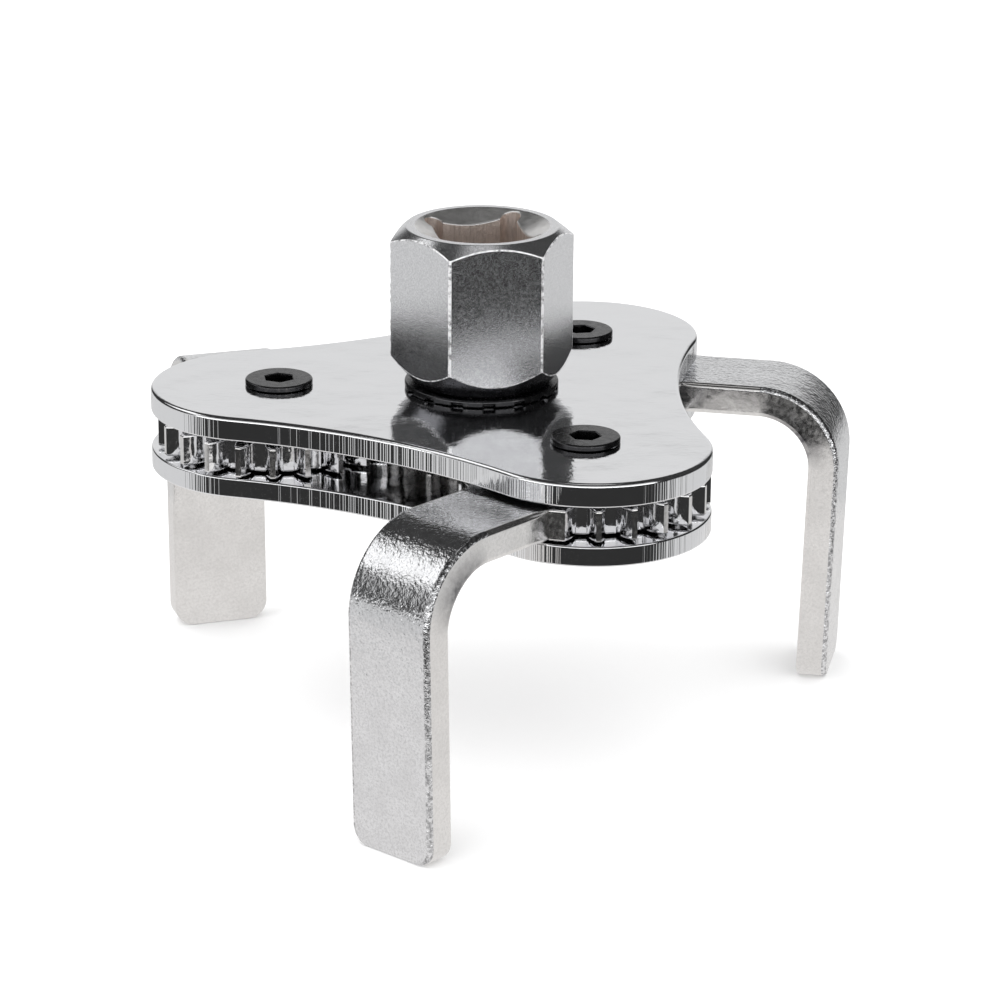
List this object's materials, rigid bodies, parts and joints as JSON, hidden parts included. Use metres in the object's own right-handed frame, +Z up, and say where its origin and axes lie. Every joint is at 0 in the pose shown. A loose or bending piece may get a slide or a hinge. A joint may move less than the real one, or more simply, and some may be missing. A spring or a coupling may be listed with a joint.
{
  "type": "oil filter wrench",
  "caption": "Self-adjusting oil filter wrench: L-shaped toothed jaws between lobed plates close together as a hexagon head with a square socket is turned.",
  "frame": {"origin": "on the drive axis, at the centre of the drive shaft's flat lower end", "axes": "+Z up the drive axis, towards the hexagon head; -X from the drive axis towards the pivot of jaw_1"},
  "size_m": [0.1075, 0.1068, 0.0756],
  "materials": {
    "plate_chrome": "satin chrome plate over stamped steel, faint brush marks on the faces, sheared edges",
    "jaw_chrome": "chrome plate over bent flat bar, finely hammered outer faces",
    "hex_chrome": "bright chrome plate, grained faces and polished edges",
    "gear_steel": "machined and plated",
    "post_steel": "turned",
    "washer_steel": "stamped and zinc plated",
    "black_oxide": "black oxide, slightly glossy with oil"
  },
  "bodies": {
    "cage": {"top_plate": "plate_chrome", "bottom_plate": "plate_chrome", "pivot_post_1": "post_steel", "pivot_screw_1": "black_oxide", "jaw_washer_1": "washer_steel", "pivot_post_2": "post_steel", "pivot_screw_2": "black_oxide", "jaw_washer_2": "washer_steel", "pivot_post_3": "post_steel", "pivot_screw_3": "black_oxide", "jaw_washer_3": "washer_steel"},
    "drive": {"drive_hex": "hex_chrome", "drive_gear": "gear_steel", "toothed_washer": "black_oxide", "retainer_washer": "washer_steel", "retaining_ring": "black_oxide"},
    "jaw_1": {"jaw_1": "jaw_chrome"},
    "jaw_2": {"jaw_2": "jaw_chrome"},
    "jaw_3": {"jaw_3": "jaw_chrome"}
  },
  "joints": [
    {"name": "drive_turn", "type": "hinge", "parent": "cage", "child": "drive", "pos_m": [0, 0, 0.02], "axis": [0, 0, 1], "range_deg": [-215, 40]},
    {"name": "jaw_1_swing", "type": "hinge", "parent": "cage", "child": "jaw_1", "pos_m": [-0.03, 0, 0.00865], "axis": [0, 0, 1], "range_deg": [-33.2, 176.4]},
    {"name": "jaw_2_swing", "type": "hinge", "parent": "cage", "child": "jaw_2", "pos_m": [0.015, -0.02598, 0.00865], "axis": [0, 0, 1], "range_deg": [-33.2, 176.4]},
    {"name": "jaw_3_swing", "type": "hinge", "parent": "cage", "child": "jaw_3", "pos_m": [0.015, 0.02598, 0.00865], "axis": [0, 0, 1], "range_deg": [-33.2, 176.4]}
  ],
  "couplings": [
    {"joint": "jaw_1_swing", "follows": "drive_turn", "ratio": -0.81818},
    {"joint": "jaw_2_swing", "follows": "drive_turn", "ratio": -0.81818},
    {"joint": "jaw_3_swing", "follows": "drive_turn", "ratio": -0.81818}
  ]
}
